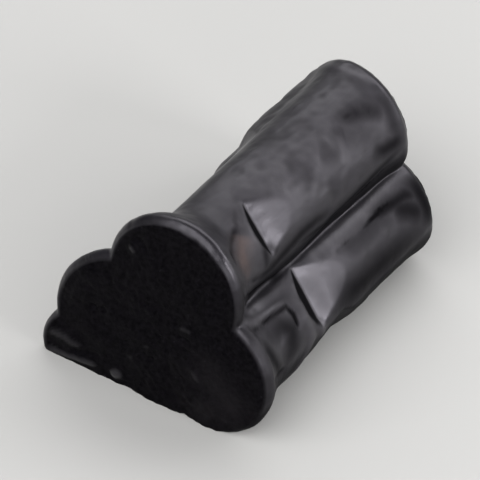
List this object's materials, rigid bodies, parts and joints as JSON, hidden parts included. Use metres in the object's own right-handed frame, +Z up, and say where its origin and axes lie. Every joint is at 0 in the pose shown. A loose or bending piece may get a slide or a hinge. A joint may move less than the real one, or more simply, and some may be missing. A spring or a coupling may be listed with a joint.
{
  "type": "licorice twist",
  "caption": "Short bite of soft black licorice, cut from a rope of round strands fused side by side with a slight twist, flared at its cut ends and lying on its side.",
  "frame": {"origin": "on the table, under the middle of the piece's box", "axes": "+Y along the strands, away from the wide slanting cut; +Z up, with one strand on top; +X towards the lower strand that carries a pressed mark"},
  "size_m": [0.0188, 0.0262, 0.0154],
  "materials": {
    "black_licorice": "soft waxy satin, duller and grainy on the cut faces"
  },
  "bodies": {
    "root": {"licorice_twist": "black_licorice"}
  },
  "joints": []
}
